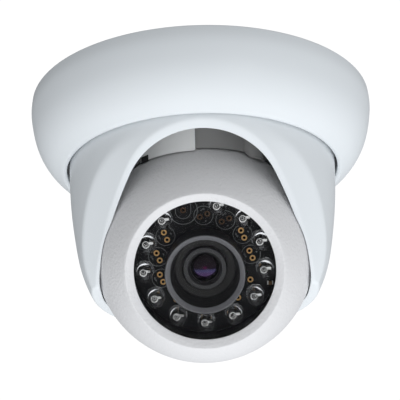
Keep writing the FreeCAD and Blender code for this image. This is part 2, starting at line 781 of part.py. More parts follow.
def main():
    save("mounting_base", mounting_base())
    save("flange_cover", flange_cover())
    save("ceiling_gasket", ceiling_gasket())
    save("cable_grommet", cable_grommet())
    save("pan_washer", pan_washer())
    save("pan_retainer_ring", pan_retainer_ring())
    save("retainer_screws", retainer_screws())
    save("turret_housing", turret_housing())
    save("turret_top_plate", turret_top_plate())
    save("turret_screws", turret_screws())
    save("inner_bracket", inner_bracket())
    save("stop_block", stop_block())
    save("tilt_stop_pad", tilt_stop_pad())
    save("trunnion_bushes", trunnion_bushes())
    save("tilt_yoke", tilt_yoke())
    save("trunnion_pins", trunnion_pins())
    save("eyeball_front_shell", eyeball_front_shell())
    save("eyeball_rear_shell", eyeball_rear_shell())
    save("shell_seal", shell_seal())
    save("shell_screws", shell_screws())
    save("front_window", front_window())
    save("window_gasket", window_gasket())
    save("light_shroud", light_shroud())
    save("led_board", led_board())
    save("led_lead_pads", led_lead_pads())
    save("ir_leds", ir_leds())
    save("light_sensor", light_sensor())
    save("led_board_screws", led_board_screws())
    save("lens_cup", lens_cup())
    save("lens_holder", lens_holder())
    save("lens_barrel", lens_barrel())
    save("lens_front_element", lens_front_element())
    save("lens_rear_element", lens_rear_element())
    save("lens_lock_ring", lens_lock_ring())
    save("filter_shuttle", filter_shuttle())
    save("ir_cut_filter", filter_pane(0.0))
    save("clear_filter", filter_pane(SHUTTLE_TRAVEL))
    save("filter_solenoid", filter_solenoid())
    save("sensor_board", sensor_board())
    save("image_sensor", image_sensor())
    save("front_standoffs", front_standoffs())
    save("rear_standoffs", rear_standoffs())
    save("main_board", main_board())
    save("board_screws", board_screws())
    save("processor_chip", processor_chip())
    save("memory_chips", memory_chips())
    save("cable_header", cable_header())
    save("board_link", board_link())
    save("level_washer", level_washer())
    save("wave_washer", wave_washer())
    save("neck_nut", neck_nut())
    save("cable_riser", cable_riser())
    save("cable_loop", cable_loop())
    save("cable_neck_lead", cable_neck_lead())


main()
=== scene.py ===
import bpy
import bmesh
import json
import math
import numpy as np
from mathutils import Matrix, Vector


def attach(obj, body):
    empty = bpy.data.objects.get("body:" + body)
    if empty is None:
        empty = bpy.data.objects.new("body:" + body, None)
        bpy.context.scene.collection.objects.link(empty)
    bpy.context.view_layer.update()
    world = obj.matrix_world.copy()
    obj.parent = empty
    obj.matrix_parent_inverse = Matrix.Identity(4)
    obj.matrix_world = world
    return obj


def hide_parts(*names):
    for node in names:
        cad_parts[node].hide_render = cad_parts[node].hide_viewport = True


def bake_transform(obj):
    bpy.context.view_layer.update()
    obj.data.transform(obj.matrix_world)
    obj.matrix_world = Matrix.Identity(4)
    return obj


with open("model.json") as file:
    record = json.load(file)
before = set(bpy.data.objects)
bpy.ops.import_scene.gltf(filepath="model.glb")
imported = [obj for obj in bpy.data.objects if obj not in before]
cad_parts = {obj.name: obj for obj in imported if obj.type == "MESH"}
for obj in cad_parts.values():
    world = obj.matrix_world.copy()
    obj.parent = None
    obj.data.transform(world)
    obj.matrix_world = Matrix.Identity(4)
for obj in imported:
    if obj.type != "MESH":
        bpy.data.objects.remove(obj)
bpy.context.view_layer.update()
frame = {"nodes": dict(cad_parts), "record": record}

# Profiles and places below are in millimetres; ROW, IN_BALL and IN_LENS turn them into the frame's metres.
MM = 0.001
SEGMENTS = 224

# ---------------------------------------------------------------- places, from the record
JOINTS = {j["name"]: j for j in frame["record"]["behaviour"]["joints"]}
BALL = Vector(JOINTS["tilt"]["pos_m"])
AXIS = Vector(JOINTS["level"]["axis"]).normalized()
LENS_POINT = Vector(JOINTS["lens_focus"]["pos_m"])
SIDE = Vector((1, 0, 0))
UP = AXIS.cross(SIDE).normalized()


def axes(x, y, z, origin):
    """Matrix from local millimetres to the row frame in metres."""
    m = Matrix((x, y, z)).transposed().to_4x4()
    return Matrix.Translation(origin) @ m @ Matrix.Scale(MM, 4)


ROW = Matrix.Scale(MM, 4)
IN_BALL = axes(SIDE, UP, AXIS, BALL)
IN_LENS = axes(SIDE, UP, AXIS, LENS_POINT)
BALL_Z = BALL.z / MM


# ---------------------------------------------------------------- materials

GRAIN_DETAIL = 3.0
DRIFT_SCALE = 60.0
DRIFT_DETAIL = 2.0
SMOOTHEST = 0.01


def new_material(name):
    m = bpy.data.materials.new(name)
    m.use_nodes = True
    return m, m.node_tree, m.node_tree.nodes["Principled BSDF"]


def add_node(nt, kind, inputs=None, operation=None):
    """New shader node with some of its inputs set, by name or number."""
    made = nt.nodes.new("ShaderNode" + kind)
    if operation:
        made.operation = operation
    for key, value in (inputs or {}).items():
        made.inputs[key].default_value = value
    return made


def link(nt, a, b):
    nt.links.new(a, b)


def finish(name, color, rough, metal=0.0, grain=900.0, bump=0.1, grain_size=0.00002, tone=0.03,
           rough_var=0.06, spec=0.5, alpha=1.0, transmission=0.0, ior=1.45):
    """Painted, moulded or metal surface with fine grain, slow tone drift and uneven gloss."""
    m, nt, bsdf = new_material(name)
    coord = add_node(nt, "TexCoord")
    fine = add_node(nt, "TexNoise", {"Scale": grain, "Detail": GRAIN_DETAIL})
    slow = add_node(nt, "TexNoise", {"Scale": DRIFT_SCALE, "Detail": DRIFT_DETAIL})
    link(nt, coord.outputs["Object"], fine.inputs["Vector"])
    link(nt, coord.outputs["Object"], slow.inputs["Vector"])
    drift = add_node(nt, "MapRange", {"To Min": 1.0 - tone, "To Max": 1.0 + tone})
    link(nt, slow.outputs["Fac"], drift.inputs["Value"])
    tint = add_node(nt, "VectorMath", {0: color}, "SCALE")
    link(nt, drift.outputs["Result"], tint.inputs["Scale"])
    link(nt, tint.outputs["Vector"], bsdf.inputs["Base Color"])
    gloss = add_node(nt, "MapRange", {"To Min": max(rough - rough_var, SMOOTHEST),
                                      "To Max": min(rough + rough_var, 1.0)})
    link(nt, fine.outputs["Fac"], gloss.inputs["Value"])
    link(nt, gloss.outputs["Result"], bsdf.inputs["Roughness"])
    relief = add_node(nt, "Bump", {"Strength": bump, "Distance": grain_size})
    link(nt, fine.outputs["Fac"], relief.inputs["Height"])
    link(nt, relief.outputs["Normal"], bsdf.inputs["Normal"])
    for key, value in (("Metallic", metal), ("Specular IOR Level", spec), ("Alpha", alpha),
                       ("Transmission Weight", transmission), ("IOR", ior)):
        bsdf.inputs[key].default_value = value
    return m


MATS = {
    "white_cover": finish("cool_white_plastic", (0.80, 0.83, 0.85), 0.36, grain=2600, bump=0.12,
                          tone=0.012),
    "ball_paint": finish("grained_paint", (0.775, 0.767, 0.772), 0.5, grain=1150, bump=1.0,
                         grain_size=0.00025, tone=0.015),
    # inner_grey: dark grey that paints the shade inside the recess behind the stop block
    "inner_grey": finish("inner_grey_painted_shade", (0.30, 0.295, 0.29), 0.5, grain=2200, bump=0.25, tone=0.04),
    "cast_base": finish("cast_alloy", (0.55, 0.56, 0.57), 0.5, metal=0.9, grain=1500, bump=0.5, tone=0.05),
    "bracket_grey": finish("bracket_paint", (0.93, 0.93, 0.92), 0.42, grain=2000, bump=0.2),
    "steel": finish("zinc_steel", (0.62, 0.62, 0.60), 0.3, metal=1.0, grain=2500, bump=0.2, tone=0.05),
    "standoff_brass": finish("plain_brass", (0.72, 0.55, 0.28), 0.3, metal=1.0, grain=2500, bump=0.15),
    "gold_pads": finish("gold_plate", (0.72, 0.42, 0.16), 0.34, metal=0.8, grain=4000),
    # dull_pads: the gold darkened to paint the shade on the upper pads under the bezel and shroud
    "dull_pads": finish("painted_shade_plate", (0.10, 0.055, 0.03), 0.4, metal=0.8, grain=4000),
    # hole_black: near black that paints the shade inside the empty lead holes
    "hole_black": finish("painted_hole_shade", (0.003, 0.003, 0.003), 0.9, spec=0.0),
    "bearing_plastic": finish("acetal", (0.85, 0.85, 0.80), 0.4, grain=1500),
    "black_rubber": finish("black_rubber", (0.018, 0.018, 0.018), 0.7, grain=1800, bump=0.3),
    "cable_sheath": finish("cable_sheath", (0.02, 0.02, 0.022), 0.5, bump=0.2),
    "board_black": finish("black_solder_mask", (0.006, 0.006, 0.008), 0.35, grain=700, bump=0.15,
                          grain_size=0.00004, tone=0.2, spec=0.1),
    "board_green": finish("green_solder_mask", (0.015, 0.13, 0.05), 0.3, bump=0.2, tone=0.1),
    "black_plastic": finish("black_moulding", (0.014, 0.014, 0.015), 0.42, grain=2600, bump=0.35,
                            tone=0.08, spec=0.25),
    "connector_white": finish("nylon", (0.78, 0.75, 0.66), 0.5, grain=1200),
    "lens_black": finish("black_anodised", (0.03, 0.03, 0.032), 0.35, metal=0.4, grain=3000, bump=0.2),
    "clear_acrylic": finish("clear_window", (0.02, 0.02, 0.02), 0.03, grain=60, bump=0.0, rough_var=0.01,
                            alpha=0.05),
    "led_resin": finish("clear_epoxy", (0.97, 0.98, 1.0), 0.03, grain=300, bump=0.05, rough_var=0.01,
                        transmission=1.0, ior=1.5),
    "optical_glass": finish("lens_glass", (0.012, 0.008, 0.022), 0.03, grain=200, bump=0.0, rough_var=0.01,
                            ior=1.5),
    "filter_glass": finish("filter_glass", (0.35, 0.75, 0.85), 0.05, grain=200, bump=0.0,
                           transmission=0.8),
    "sensor_amber": finish("sensor_resin", (0.16, 0.10, 0.05), 0.12, tone=0.2),
    "silk": finish("silkscreen_ink", (0.20, 0.21, 0.21), 0.6, grain=2600, bump=0.2, tone=0.2),
    "chrome": finish("lead_frame", (0.62, 0.61, 0.59), 0.2, metal=1.0, grain=2600, bump=0.7,
                     grain_size=0.00012),
    "cup_floor": finish("speckled_floor", (0.027, 0.026, 0.026), 0.75, grain=1400, bump=0.9,
                        grain_size=0.0001, tone=0.25),
    "cup_bevel": finish("baffle_bevel", (0.15, 0.15, 0.16), 0.33, grain=2600, bump=0.2, tone=0.05),
}

# the front lens: height of its crown, then a painted reflection of its coating, coloured by height from
# SHEEN_HALF below the crown to above it
LENS_CROWN = 12.35
SHEEN_HALF = 4.0 * MM
SHEEN_ENDS = ((0.035, 0.016, 0.05, 1), (0.007, 0.005, 0.007, 1))
SHEEN_STOPS = ((0.25, (0.045, 0.025, 0.07, 1)), (0.36, (0.04, 0.036, 0.085, 1)),
               (0.42, (0.025, 0.022, 0.055, 1)), (0.45, (0.008, 0.005, 0.008, 1)))
# the painted glint at the lens centre: radius where it is full, radius where it fades out, and its colour
GLINT_CORE = 0.25 * MM
GLINT_EDGE = 0.7 * MM
GLINT_COLOR = (0.06, 0.01, 0.04, 1)


def coated_glass_painted_sheen():
    """Front lens: near black, with a painted violet reflection of the coating across its lower half and a
    painted magenta glint at its centre.
    """
    m = finish("coated_glass_painted_sheen", (0.01, 0.008, 0.012), 0.04, grain=200, bump=0.0, rough_var=0.01, metal=1.0)
    nt = m.node_tree
    coord = add_node(nt, "TexCoord")
    away = add_node(nt, "VectorMath", {1: LENS_POINT + AXIS * LENS_CROWN * MM}, "SUBTRACT")
    link(nt, coord.outputs["Object"], away.inputs[0])
    height = add_node(nt, "VectorMath", {1: UP}, "DOT_PRODUCT")
    link(nt, away.outputs["Vector"], height.inputs[0])
    sheen = add_node(nt, "ValToRGB")
    for element, color in zip(sheen.color_ramp.elements, SHEEN_ENDS):
        element.color = color
    for at, color in SHEEN_STOPS:
        sheen.color_ramp.elements.new(at).color = color
    span = add_node(nt, "MapRange", {"From Min": -SHEEN_HALF, "From Max": SHEEN_HALF})
    link(nt, height.outputs["Value"], span.inputs["Value"])
    link(nt, span.outputs["Result"], sheen.inputs["Fac"])
    length = add_node(nt, "VectorMath", operation="LENGTH")
    link(nt, away.outputs["Vector"], length.inputs[0])
    spot = add_node(nt, "MapRange", {"From Min": GLINT_CORE, "From Max": GLINT_EDGE,
                                     "To Min": 1.0, "To Max": 0.0})
    link(nt, length.outputs["Value"], spot.inputs["Value"])
    both = add_node(nt, "Mix")
    both.data_type = "RGBA"
    under, over = [i for i in both.inputs if i.type == "RGBA"]
    link(nt, spot.outputs["Result"], both.inputs[0])
    link(nt, sheen.outputs["Color"], under)
    over.default_value = GLINT_COLOR
    mixed = next(o for o in both.outputs if o.type == "RGBA")
    link(nt, mixed, nt.nodes["Principled BSDF"].inputs["Base Color"])
    return m


MATS["coated_glass_painted_sheen"] = coated_glass_painted_sheen()


# ---------------------------------------------------------------- mesh helpers

FILLET_STEPS = 4
STRAIGHT = 0.02
EDGE_SHARE = 0.48
MERGE_DISTANCE = 1e-7
ON_AXIS = 1e-6
DRILL_SEGMENTS = 40
DRILLED_SHARP = 32


def rounded(points, closed=True):
    """Fillets a profile: each point is (r, z) or (r, z, fillet radius)."""
    out = []
    n = len(points)
    for i, p in enumerate(points):
        rad = p[2] if len(p) > 2 else 0.0
        here = np.array(p[:2], float)
        if rad <= 0 or (not closed and i in (0, n - 1)):
            out.append(tuple(here))
            continue
        a = np.array(points[i - 1][:2], float) - here
        b = np.array(points[(i + 1) % n][:2], float) - here
        la, lb = np.linalg.norm(a), np.linalg.norm(b)
        a /= la
        b /= lb
        half = math.acos(max(-1, min(1, float(a @ b)))) / 2
        if half > math.pi / 2 - STRAIGHT:
            out.append(tuple(here))
            continue
        t = min(rad / math.tan(half), EDGE_SHARE * la, EDGE_SHARE * lb)
        rr = t * math.tan(half)
        mid = (a + b) / np.linalg.norm(a + b)
        centre = here + mid * (rr / math.sin(half))
        s = here + a * t - centre
        e = here + b * t - centre
        a0 = math.atan2(s[1], s[0])
        a1 = math.atan2(e[1], e[0])
        d = (a1 - a0 + math.pi) % (2 * math.pi) - math.pi
        for k in range(FILLET_STEPS + 1):
            ang = a0 + d * k / FILLET_STEPS
            out.append((centre[0] + rr * math.cos(ang), centre[1] + rr * math.sin(ang)))
    return out


def spline(points, per):
    """Smooth curve through (r, z) points (natural cubic over chord length)."""
    p = np.array(points, float)
    t = np.r_[0, np.cumsum(np.hypot(*np.diff(p, axis=0).T))]
    n = len(p)
    out = []
    spans = [np.linspace(t[i], t[i + 1], per, endpoint=False) for i in range(n - 1)]
    ts = np.concatenate(spans + [[t[-1]]])
    for c in range(2):
        y = p[:, c]
        h = np.diff(t)
        a = np.zeros((n, n))
        b = np.zeros(n)
        a[0, 0] = a[-1, -1] = 1
        for i in range(1, n - 1):
            a[i, i - 1], a[i, i], a[i, i + 1] = h[i - 1], 2 * (h[i - 1] + h[i]), h[i]
            b[i] = 6 * ((y[i + 1] - y[i]) / h[i] - (y[i] - y[i - 1]) / h[i - 1])
        m = np.linalg.solve(a, b)
        i = np.clip(np.searchsorted(t, ts, side="right") - 1, 0, n - 2)
        dt = ts - t[i]
        v = (y[i] + dt * ((y[i + 1] - y[i]) / h[i] - h[i] * (2 * m[i] + m[i + 1]) / 6)
             + dt ** 2 * m[i] / 2 + dt ** 3 * (m[i + 1] - m[i]) / (6 * h[i]))
        out.append(v)
    return [tuple(v) for v in np.array(out).T]


def arc(radius, z0, z1, steps):
    """Points on a sphere's outline between two heights along its axis."""
    a0, a1 = math.asin(z0 / radius), math.asin(z1 / radius)
    angles = [a0 + (a1 - a0) * k / steps for k in range(steps + 1)]
    return [(radius * math.cos(a), radius * math.sin(a)) for a in angles]


def make_object(name, verts, faces, mats, slots=None, sharp=40.0):
    """Smooth-shaded mesh with creases above the sharp angle; slots pick a material for each face."""
    me = bpy.data.meshes.new(name)
    me.from_pydata([tuple(v) for v in verts], [], faces)
    bm = bmesh.new()
    bm.from_mesh(me)
    bmesh.ops.remove_doubles(bm, verts=bm.verts, dist=MERGE_DISTANCE)
    bmesh.ops.recalc_face_normals(bm, faces=bm.faces)
    bm.to_mesh(me)
    bm.free()
    for m in mats:
        me.materials.append(MATS[m])
    for p in me.polygons:
        p.use_smooth = True
    if slots is not None and len(slots) == len(me.polygons):
        for p, s in zip(me.polygons, slots):
            p.material_index = s
    me.set_sharp_from_angle(angle=math.radians(sharp))
    o = bpy.data.objects.new(name, me)
    bpy.context.scene.collection.objects.link(o)
    return o


def lathe_data(profile, matrix, segs, closed, offset=(0, 0), pick=None):
    """Vertices, faces and material picks of a turned piece about local Z."""
    verts, faces, slots = [], [], []
    rings = []
    for r, z in profile:
        if r < ON_AXIS:
            verts.append(matrix @ Vector((offset[0], offset[1], z)))
            rings.append([len(verts) - 1])
            continue
        ring = []
        for k in range(segs):
            a = 2 * math.pi * k / segs
            verts.append(matrix @ Vector((offset[0] + r * math.cos(a), offset[1] + r * math.sin(a), z)))
            ring.append(len(verts) - 1)
        rings.append(ring)
    n = len(rings)
    for i in range(n if closed else n - 1):
        a, b = rings[i], rings[(i + 1) % n]
        if len(a) == 1 and len(b) == 1:
            continue
        which = pick(profile[i], profile[(i + 1) % n]) if pick else 0
        for k in range(segs):
            j = (k + 1) % segs
            if len(a) == 1:
                faces.append((a[0], b[j], b[k]))
            elif len(b) == 1:
                faces.append((a[k], a[j], b[0]))
            else:
                faces.append((a[k], a[j], b[j], b[k]))
            slots.append(which)
    return verts, faces, slots


def grid_faces(rings, columns, closed=False):
    """Faces between neighbouring rings of vertices; closed also joins the last ring to the first."""
    faces = []
    for i in range(rings if closed else rings - 1):
        a, b = i * columns, (i + 1) % rings * columns
        for k in range(columns):
            j = (k + 1) % columns
            faces.append((a + k, a + j, b + j, b + k))
    return faces


def merge(parts):
    """One set of vertices, faces and material picks from several."""
    verts, faces, slots = [], [], []
    for v, f, s in parts:
        n = len(verts)
        verts += v
        faces += [tuple(i + n for i in q) for q in f]
        slots += s
    return verts, faces, slots


def drill(o, mat, holes):
    """Cuts round holes in a finished mesh; each hole is (matrix, x, y, z0, z1, radius)."""
    data = merge([lathe_data([(0, z0), (r, z0), (r, z1), (0, z1)], matrix, DRILL_SEGMENTS, False, (x, y))
                  for matrix, x, y, z0, z1, r in holes])
    cutter = make_object("drill", *data[:2], [mat])
    cut = o.modifiers.new("drill", "BOOLEAN")
    cut.operation = "DIFFERENCE"
    cut.solver = "EXACT"
    cut.object = cutter
    graph = bpy.context.evaluated_depsgraph_get()
    me = bpy.data.meshes.new_from_object(o.evaluated_get(graph))
    o.modifiers.clear()
    o.data = me
    bpy.data.objects.remove(cutter)
    me.set_sharp_from_angle(angle=math.radians(DRILLED_SHARP))


def place(o, body, slot, *nodes):
    """Puts a piece on its body, in place of the CAD nodes it stands for, if any."""
    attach(o, body)
    if nodes:
        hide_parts(*nodes)
    return o


def turned(name, profile, matrix, body, slot, *nodes, mats=None, pick=None, closed=True, sharp=40.0):
    verts, faces, slots = lathe_data(profile, matrix, SEGMENTS, closed, pick=pick)
    o = make_object(name, verts, faces, mats or [slot], slots if pick else None, sharp)
    return place(o, body, slot, *nodes)


# ---------------------------------------------------------------- flange cover

FLANGE_PROFILE = [(54.6, 0.0), (54.96, -3.5), (54.54, -8.0), (53.45, -13.0),
                  (51.2, -18.0), (48.04, -22.0), (44.9, -24.55)]
FLANGE_WALL = 2.3
FLANGE_OPENING_R = 43.55
FLANGE_LIP = [(43.95, -24.75), (FLANGE_OPENING_R, -24.45), (FLANGE_OPENING_R, -22.2, 0.4)]
FLANGE_TOP_FILLET = 0.35
FLANGE_INNER_TOP = (52.3, 0.0, 0.2)


def build_flange_cover():
    outer = spline(FLANGE_PROFILE, 6)
    inner = spline([(r - FLANGE_WALL, z) for r, z in FLANGE_PROFILE[:-1]], 5)
    profile = [(*outer[0], FLANGE_TOP_FILLET)] + outer[1:] + FLANGE_LIP + inner[:0:-1] + [FLANGE_INNER_TOP]
    turned("flange_cover_shell", rounded(profile), ROW, "base", "white_cover", "flange_cover", sharp=50)


# ---------------------------------------------------------------- turret housing

TURRET_PROFILE = [(42.76, -11.3), (42.62, -26.0), (42.2, -36.0), (40.7, -49.0),
                  (38.9, -58.0), (37.3, -62.5), (35.7, -66.0)]
TURRET_TOP = -11.3
TURRET_BOTTOM = -66.0
TURRET_WALL = 2.4
MOUTH_TILT = math.radians(42.0)
MOUTH_AXIS = math.radians(49.0)
MOUTH_DEPTH = 13.6
MOUTH_DROP = 3.0
CREASE_BACK = 5.0
CREASE_SOFT = 0.5
NOSE_LENGTH = 8.0
NOSE_SPAN = math.radians(115)
# mouth outlines: low radius, high radius, height of the high centre, radius of the flanks
LIP_OUT = (34.0, 25.2, 27.9, 125.0)
LIP_IN = (33.0, 24.5, 25.4, 148.0)
CREASE = (41.0, 33.0, 26.5, 100.0)
NOSE_IN_FRONT = (30.0, 21.2, 27.9, 121.0)
NOSE_IN_REAR = (37.0, 29.0, 26.5, 96.0)
SOCKET_R = 35.1
SOCKET_SOFT = 0.4
SMALLEST_ROOM_R = 10.0
YOKE_ROOM_R = 37.2
YOKE_ROOM_COS = 0.19
YOKE_ROOM_FLOOR = -10.2
UNDERSIDE_SOFT = 1.2
BUSH_SEAT_R = 4.23
BUSH_START_X = 36.0
BUSH_END_X = 38.45
BUSH_AXIS = axes(UP, AXIS, SIDE, BALL)

# how the housing's mesh is worked out and laid out
TURRET_COLUMNS = 512
TURRET_ROWS = 52
ROW_CROWDING = 1.3
NEAR_R = 5.0
FAR_R = 60.0
OPEN_R = 70.0
DEEP_INSIDE = -5.0
NO_TUNNEL = 50.0
EDGE_STEPS = 44
NOSE_STEPS = 40
EDGE_RISE = 1.0
OUTER_START = 1.2
INNER_START = 0.6
EDGE_MIN = 0.25
EDGE_WALL_MIN = 0.3
WALL_MIN = 0.4
OUTER_ROUND = (0.75, 0.42, 6)
INNER_ROUND = (0.3, 0.3, 4)


def egg_distance(x, v, sizes):
    """Signed distance to an outline of a low arc, two flank arcs and a high arc."""
    r0, r1, up, side = sizes
    to_high = side - r1
    to_low = side - r0
    w = (to_low ** 2 - to_high ** 2 + up ** 2) / (2 * up)
    c = np.sqrt(np.maximum(to_low ** 2 - w ** 2, 0))
    x = np.abs(x)
    a = np.arctan2(v - w, x + c)
    d = np.where(a < np.arctan2(-w, c), np.hypot(x, v) - r0, np.hypot(x + c, v - w) - side)
    return np.where(a > np.arctan2(up - w, c), np.hypot(x, v - up) - r1, d)


def mouth_coords(x, y, z):
    """Distance behind the mouth's plane, and the coordinates in that plane, of row points."""
    zz = z - BALL_Z
    n = y * -math.cos(MOUTH_TILT) + zz * -math.sin(MOUTH_TILT)
    v = y * -math.sin(MOUTH_TILT) + zz * math.cos(MOUTH_TILT)
    v = v + n * math.tan(MOUTH_AXIS - MOUTH_TILT)
    return MOUTH_DEPTH - n, x, v + MOUTH_DROP


def nose_distance(x, y, z, front, rear):
    """Signed distance to the nose, whose outline grows from the mouth's plane back to the crease."""
    back, px, pv = mouth_coords(x, y, z)
    k = np.minimum(back, NOSE_LENGTH) / CREASE_BACK
    sizes = [a + (b - a) * k for a, b in zip(front, rear)]
    return np.where(back > NOSE_LENGTH, DEEP_INSIDE, egg_distance(px, pv, sizes))


def profile_radius(points):
    s = np.array(spline(points, 12))
    order = np.argsort(s[:, 1])
    return lambda z: np.interp(z, s[order, 1], s[order, 0])


def bisect(test, lo, hi, steps):
    """Closes in on where the test turns true: the last places where it is false and where it is true."""
    for _ in range(steps):
        mid = (lo + hi) / 2
        yes = test(mid)
        hi = np.where(yes, mid, hi)
        lo = np.where(yes, lo, mid)
    return lo, hi


def nose_radius(phi, z, front, rear):
    """Radius where a level ray from the pan axis leaves the nose, or OPEN_R where it never does."""
    sx, sy = np.sin(phi), -np.cos(phi)

    def distance(r):
        return nose_distance(r * sx, r * sy, z, front, rear)

    far = np.full_like(z, OPEN_R)
    inside, _ = bisect(lambda r: distance(r) > 0, np.full_like(z, NEAR_R), far, NOSE_STEPS)
    return np.where(distance(far) < 0, OPEN_R, inside)


def flared_nose(phi, z, front, rear):
    """The nose's radius at the front and flanks; the back of the housing has none."""
    return np.where(np.abs(phi) > NOSE_SPAN, OPEN_R, nose_radius(phi, z, front, rear))


def smooth_min(a, b, k):
    h = np.clip(0.5 + 0.5 * (b - a) / k, 0, 1)
    return b + (a - b) * h - k * h * (1 - h)


def smooth_max(a, b, k):
    return -smooth_min(-a, -b, k)


def turret_radius(phi, z, radius_of):
    """Outer radius of the housing: the round body, cut by the flared nose at the front."""
    z = np.clip(z, TURRET_BOTTOM, TURRET_TOP)
    return smooth_min(radius_of(z), flared_nose(phi, z, LIP_OUT, CREASE), CREASE_SOFT)


def level_radius(radius, height):
    """Radius of a sphere's level section, kept above a smallest value."""
    return np.sqrt(np.maximum(radius ** 2 - height ** 2, SMALLEST_ROOM_R ** 2))


def room_radius(phi, z, radius_of):
    """Inner radius of the housing: tunnel of the mouth, ball socket, yoke room and upper hollow."""
    height = z - BALL_Z
    socket = level_radius(SOCKET_R, height)
    tunnel = np.where(np.cos(phi) > 0, nose_radius(phi, z, LIP_IN, LIP_IN), 0.0)
    in_yoke_room = (np.cos(phi) < YOKE_ROOM_COS) & (height > YOKE_ROOM_FLOOR)
    yoke = np.where(in_yoke_room, level_radius(YOKE_ROOM_R, height), 0.0)
    body = radius_of(np.clip(z, TURRET_BOTTOM, TURRET_TOP)) - TURRET_WALL
    hollow = np.minimum(body, flared_nose(phi, z, NOSE_IN_FRONT, NOSE_IN_REAR))
    hollow = np.where(height > 0, hollow, 0.0)
    return np.maximum(np.maximum(socket, tunnel), np.maximum(yoke, hollow))


def underside(phi, r):
    """Height of the lower edge surface: the mouth's plane at the front, a level ring elsewhere."""
    plane = BALL_Z + (r * np.cos(phi) * math.cos(MOUTH_TILT) - MOUTH_DEPTH) / math.sin(MOUTH_TILT)
    return smooth_max(plane, np.full_like(plane, TURRET_BOTTOM), UNDERSIDE_SOFT)


def corner(before, point, after, band, rounding):
    """Rounded corner for a whole ring of sections at once; every array is (columns, 2)."""
    largest, share, steps = rounding
    size = np.minimum(largest, band * share)

    def toward(q):
        d = q - point
        return d / np.maximum(np.linalg.norm(d, axis=1, keepdims=True), 1e-6)
    a = point + toward(before) * size[:, None]
    b = point + toward(after) * size[:, None]
    return [(1 - t) ** 2 * a + 2 * t * (1 - t) * point + t * t * b for t in np.linspace(0, 1, steps)]


def build_turret():
    phi = np.linspace(-math.pi, math.pi, TURRET_COLUMNS, endpoint=False)
    sx, sy = np.sin(phi), -np.cos(phi)
    radius_of = profile_radius(TURRET_PROFILE)

    def section(r, z):
        return np.stack([r, z], 1)

    def outer(z):
        return turret_radius(phi, z, radius_of)

    def inner(z, wall):
        return np.minimum(room_radius(phi, z, radius_of), outer(z) - wall)

    def past_room(r):
        z = underside(phi, r)
        x, y = r * sx, r * sy
        _, px, pv = mouth_coords(x, y, z)
        tunnel = np.where(y < 0, egg_distance(px, pv, LIP_IN), NO_TUNNEL)
        socket = np.sqrt(x * x + y * y + (z - BALL_Z) ** 2) - SOCKET_R
        return smooth_min(tunnel, socket, SOCKET_SOFT) > 0

    near = np.full(TURRET_COLUMNS, NEAR_R)
    far = np.full(TURRET_COLUMNS, FAR_R)
    lo, hi = bisect(lambda r: r > outer(underside(phi, r)), near, far, EDGE_STEPS)
    r_out = (lo + hi) / 2
    lo, hi = bisect(past_room, near, r_out, EDGE_STEPS)
    r_in = np.minimum((lo + hi) / 2, r_out - EDGE_MIN)
    z_out, z_in = underside(phi, r_out), underside(phi, r_in)
    edge_out, edge_in = section(r_out, z_out), section(r_in, z_in)
    z_up = z_out + EDGE_RISE
    up_out = section(outer(z_up), z_up)
    z_up = z_in + EDGE_RISE
    up_in = section(inner(z_up, EDGE_WALL_MIN), z_up)
    band = np.hypot(r_out - r_in, z_out - z_in)

    rows = np.linspace(0, 1, TURRET_ROWS) ** ROW_CROWDING
    sections = []
    z0 = z_out + OUTER_START
    for t in rows[::-1]:
        z = z0 + (TURRET_TOP - z0) * t
        sections.append(section(outer(z), z))
    sections += corner(up_out, edge_out, edge_in, band, OUTER_ROUND)
    sections += corner(edge_out, edge_in, up_in, band, INNER_ROUND)
    z0 = z_in + INNER_START
    for t in rows:
        z = z0 + (TURRET_TOP - z0) * t
        sections.append(section(inner(z, WALL_MIN), z))
    verts = []
    for r, z in (s.T for s in sections):
        verts += [Vector(q) * MM for q in np.stack([r * sx, r * sy, z], 1)]
    faces = grid_faces(len(sections), TURRET_COLUMNS, closed=True)
    o = make_object("turret_shell", verts, faces, ["white_cover"], sharp=38)
    place(o, "turret", "white_cover", "turret_housing")
    drill(o, "white_cover", [(BUSH_AXIS, 0, 0, s * BUSH_START_X, s * BUSH_END_X, BUSH_SEAT_R)
                             for s in (-1, 1)])


# ---------------------------------------------------------------- eyeball shells

BALL_R = 34.75
BALL_IN_R = 32.5
BALL_SPLIT = -6.0
BALL_REAR = -31.0
BEZEL_R = 24.44
BEZEL_FRONT = 24.6
BEZEL_IN_R = 21.85
BEZEL_IN = 23.4
WINDOW_SEAT_R = 22.9
SHROUD_R = 24.0
SHELL_SCREWS = 3
SCREW_CIRCLE_R = 30.2
SCREW_SINK_R = 2.35
SCREW_SINK_END = -12.0


def build_front_shell():
    skin = arc(BALL_R, BALL_SPLIT, BEZEL_FRONT + 0.05, 40)
    profile = [(*skin[0], 0.15)] + skin[1:-1]
    profile += [(BEZEL_R, BEZEL_FRONT, 0.45), (BEZEL_IN_R, BEZEL_IN, 0.2), (BEZEL_IN_R, 23.15),
                (WINDOW_SEAT_R, 23.15), (WINDOW_SEAT_R, 21.6), (SHROUD_R, 21.6), (SHROUD_R, 20.0)]
    profile += arc(BALL_IN_R, BALL_SPLIT, 20.5, 20)[::-1]
    turned("eyeball_front", rounded(profile), IN_BALL, "eyeball", "ball_paint", "eyeball_front_shell",
           sharp=30)


